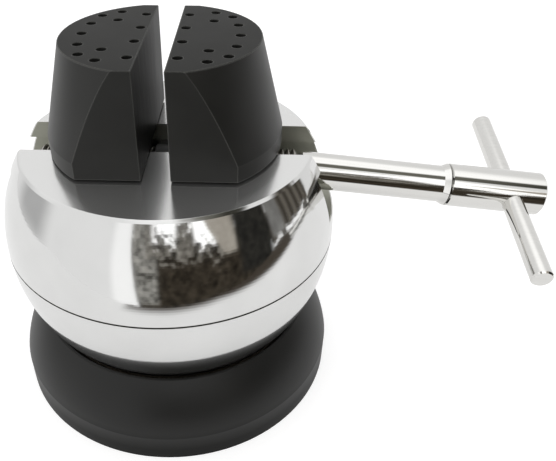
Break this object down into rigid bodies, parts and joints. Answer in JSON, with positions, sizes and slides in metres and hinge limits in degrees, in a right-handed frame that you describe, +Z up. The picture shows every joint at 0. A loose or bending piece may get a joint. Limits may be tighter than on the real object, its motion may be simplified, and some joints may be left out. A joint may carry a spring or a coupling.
{
  "type": "ball vise",
  "caption": "Ball vise: steel ball that tilts in a rubber ring, swivel top with T-slot, two half-cone jaws closed by one screw and a T-handle key.",
  "frame": {"origin": "middle of the base ring's underside, on the bench", "axes": "+Z up, +X along the lead screw towards the key, which is also the way the jaws open"},
  "size_m": [0.1868, 0.1186, 0.1262],
  "materials": {
    "base_rubber": "matt moulded black rubber",
    "liner_fibre": "dull grey-brown friction lining",
    "ball_plate": "bright plated steel, polished",
    "bronze": "turned bearing bronze",
    "race_steel": "ground bearing steel",
    "bright_steel": "turned steel, oiled",
    "black_steel": "black oxide on steel",
    "jaw_black": "black oxide, satin",
    "screw_steel": "cut thread in plain steel, oiled",
    "key_plate": "bright nickel plate"
  },
  "bodies": {
    "base": {"base_ring": "base_rubber"},
    "seat": {"seat_liner": "liner_fibre"},
    "lower": {"lower_ball": "ball_plate", "spindle_bush": "bronze", "thrust_washer": "bronze", "lower_race": "race_steel"},
    "roller_cage": {"bearing_cage": "bronze", "bearing_balls": "race_steel"},
    "drag_rod": {"drag_shoe": "bronze"},
    "upper": {"upper_ball": "ball_plate", "spindle": "bright_steel", "flange_screws": "black_steel", "upper_race": "race_steel", "disc_springs": "bright_steel", "spindle_nuts": "bright_steel", "screw_saddle": "black_steel", "saddle_cap": "black_steel", "saddle_screws": "black_steel"},
    "screw": {"lead_screw": "screw_steel"},
    "jaw_l": {"jaw_left": "jaw_black"},
    "jaw_r": {"jaw_right": "jaw_black"},
    "key": {"key_shaft": "key_plate", "key_head": "key_plate", "key_bar": "key_plate"},
    "drag_grub": {"drag_screw": "black_steel"}
  },
  "joints": [
    {"name": "seat_swivel", "type": "hinge", "parent": "base", "child": "seat", "pos_m": [0, 0, 0.06], "axis": [0, 0, 1], "continuous": true},
    {"name": "ball_tilt", "type": "hinge", "parent": "seat", "child": "lower", "pos_m": [0, 0, 0.06], "axis": [0, 1, 0], "range_deg": [-28, 28]},
    {"name": "top_swivel", "type": "hinge", "parent": "lower", "child": "upper", "pos_m": [0, 0, 0.06], "axis": [0, 0, 1], "continuous": true},
    {"name": "cage_roll", "type": "hinge", "parent": "lower", "child": "roller_cage", "pos_m": [0, 0, 0.06], "axis": [0, 0, 1], "continuous": true},
    {"name": "drag_turn", "type": "hinge", "parent": "lower", "child": "drag_grub", "pos_m": [0, 0.04, 0.038], "axis": [0, -1, 0], "range_deg": [0, 100]},
    {"name": "shoe_slide", "type": "slide", "parent": "lower", "child": "drag_rod", "axis": [0, -1, 0], "range_m": [0, 0.000345]},
    {"name": "key_turn", "type": "hinge", "parent": "upper", "child": "key", "pos_m": [0.0395, 0, 0.081], "axis": [0.9952, 0, -0.0976], "range_deg": [-811, 3593.5]},
    {"name": "screw_turn", "type": "hinge", "parent": "upper", "child": "screw", "pos_m": [0, 0, 0.081], "axis": [1, 0, 0], "range_deg": [-811, 3593.5]},
    {"name": "jaw_right_slide", "type": "slide", "parent": "upper", "child": "jaw_r", "axis": [1, 0, 0], "range_m": [-0.0044, 0.0195]},
    {"name": "jaw_left_slide", "type": "slide", "parent": "upper", "child": "jaw_l", "axis": [-1, 0, 0], "range_m": [-0.00441, 0.0195]}
  ],
  "couplings": [
    {"joint": "cage_roll", "follows": "top_swivel", "ratio": 0.5},
    {"joint": "drag_turn", "follows": "shoe_slide", "rad_per_m": 5026.5},
    {"joint": "key_turn", "follows": "jaw_right_slide", "rad_per_m": 3215.6},
    {"joint": "screw_turn", "follows": "jaw_right_slide", "rad_per_m": 3215.6},
    {"joint": "jaw_left_slide", "follows": "jaw_right_slide", "ratio": 1}
  ]
}
